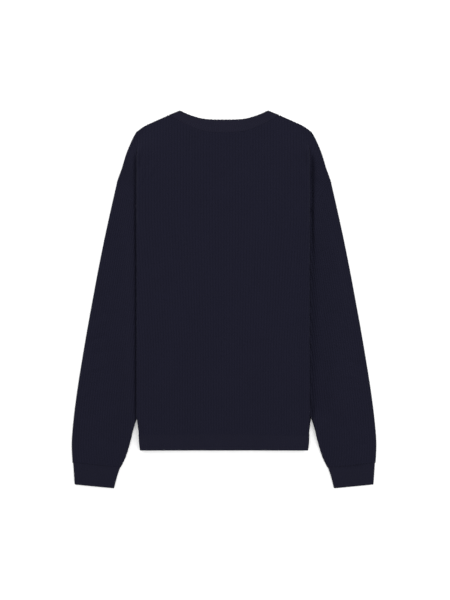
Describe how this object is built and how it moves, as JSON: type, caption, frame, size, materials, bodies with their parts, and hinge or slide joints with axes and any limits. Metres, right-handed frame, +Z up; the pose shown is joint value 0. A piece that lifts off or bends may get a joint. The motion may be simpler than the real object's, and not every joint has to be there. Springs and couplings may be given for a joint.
{
  "type": "cardigan",
  "caption": "Dark navy ribbed knit cardigan with drop shoulders and long sleeves, laid face down with its sides tucked in and its sleeves straight beside the body.",
  "frame": {"origin": "middle of the garment's width and length, on the surface that it lies on", "axes": "+Y from the hem to the neck, +X towards the wearer's right sleeve, +Z up through the layers to the back, which faces up"},
  "size_m": [0.6098, 0.7559, 0.0129],
  "materials": {
    "rib_knit": "soft matte rib knit",
    "rib_trim": "soft matte fine rib knit",
    "button": "satin"
  },
  "bodies": {
    "root": {"back": "rib_knit", "hem_back": "rib_trim", "neckband": "rib_trim", "front_left": "rib_knit", "front_right": "rib_knit", "hem_front_left": "rib_trim", "hem_front_right": "rib_trim", "front_band_left": "rib_trim", "front_band_right": "rib_trim", "sleeve_left": "rib_knit", "sleeve_right": "rib_knit", "cuff_left": "rib_trim", "cuff_right": "rib_trim", "button_1": "button", "button_2": "button", "button_3": "button", "button_4": "button", "button_5": "button"}
  },
  "joints": []
}
